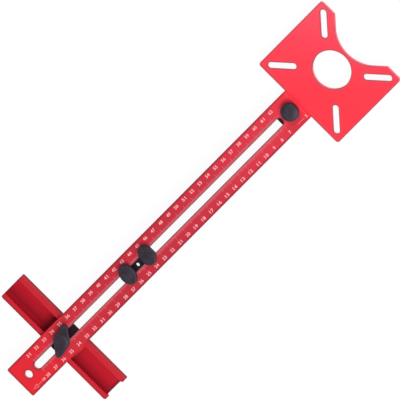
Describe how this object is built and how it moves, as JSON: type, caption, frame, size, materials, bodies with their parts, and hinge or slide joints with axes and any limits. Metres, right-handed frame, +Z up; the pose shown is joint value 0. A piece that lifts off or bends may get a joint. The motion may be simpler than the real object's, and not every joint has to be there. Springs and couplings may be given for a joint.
{
  "type": "router circle cutting jig",
  "caption": "Slotted scale arm with a router base plate at one end, a sliding pivot block with a pin hole, and a sliding channel fence, all clamped by hand knobs.",
  "frame": {"origin": "centre of the router plate's large hole, in the plane of the plate's underside, which slides on the work", "axes": "+X along the arm's length, from its free end towards the router plate; +Y across the arm; +Z up out of the plate's top face, the side the router and the knobs are on"},
  "size_m": [0.4351, 0.119, 0.0168],
  "materials": {
    "plate_red": "red anodised, satin",
    "arm_red": "red anodised, satin, white printed scale",
    "fence_red": "red anodised, satin",
    "knob_black": "fine-grained charcoal moulding",
    "guide_black": "black moulding",
    "slider_black": "black anodised",
    "steel": "zinc plated",
    "brass": "turned"
  },
  "bodies": {
    "arm_and_plate": {"base_plate": "plate_red", "scale_arm": "arm_red", "slot_key": "guide_black", "slot_key_rivet": "steel", "plate_screw": "steel", "plate_washer": "steel"},
    "plate_knob_body": {"plate_knob": "knob_black", "plate_knob_insert": "brass"},
    "pivot_body": {"pivot_slider": "slider_black", "pivot_studs": "steel", "pivot_washers": "steel"},
    "pivot_knob_near_body": {"pivot_knob_near": "knob_black", "pivot_insert_near": "brass"},
    "pivot_knob_far_body": {"pivot_knob_far": "knob_black", "pivot_insert_far": "brass"},
    "fence_body": {"fence_channel": "fence_red", "fence_guide_block": "guide_black", "fence_block_screws": "steel", "fence_bolt": "steel", "fence_washer": "steel"},
    "fence_knob_body": {"fence_wing_knob": "knob_black", "fence_knob_insert": "brass"}
  },
  "joints": [
    {"name": "plate_knob_turn", "type": "hinge", "parent": "arm_and_plate", "child": "plate_knob_body", "pos_m": [-0.0505, 0, 0.009], "axis": [0, 0, 1], "continuous": true},
    {"name": "pivot_slide", "type": "slide", "parent": "arm_and_plate", "child": "pivot_body", "axis": [1, 0, 0], "range_m": [-0.016, 0.162]},
    {"name": "pivot_knob_near_turn", "type": "hinge", "parent": "pivot_body", "child": "pivot_knob_near_body", "pos_m": [-0.2329, 0, 0.0075], "axis": [0, 0, 1], "continuous": true},
    {"name": "pivot_knob_far_turn", "type": "hinge", "parent": "pivot_body", "child": "pivot_knob_far_body", "pos_m": [-0.2575, 0, 0.0075], "axis": [0, 0, 1], "continuous": true},
    {"name": "fence_slide", "type": "slide", "parent": "arm_and_plate", "child": "fence_body", "axis": [1, 0, 0], "range_m": [-0.0195, 0.04]},
    {"name": "fence_knob_turn", "type": "hinge", "parent": "fence_body", "child": "fence_knob_body", "pos_m": [-0.3427, 0, 0.0085], "axis": [0, 0, 1], "continuous": true}
  ]
}
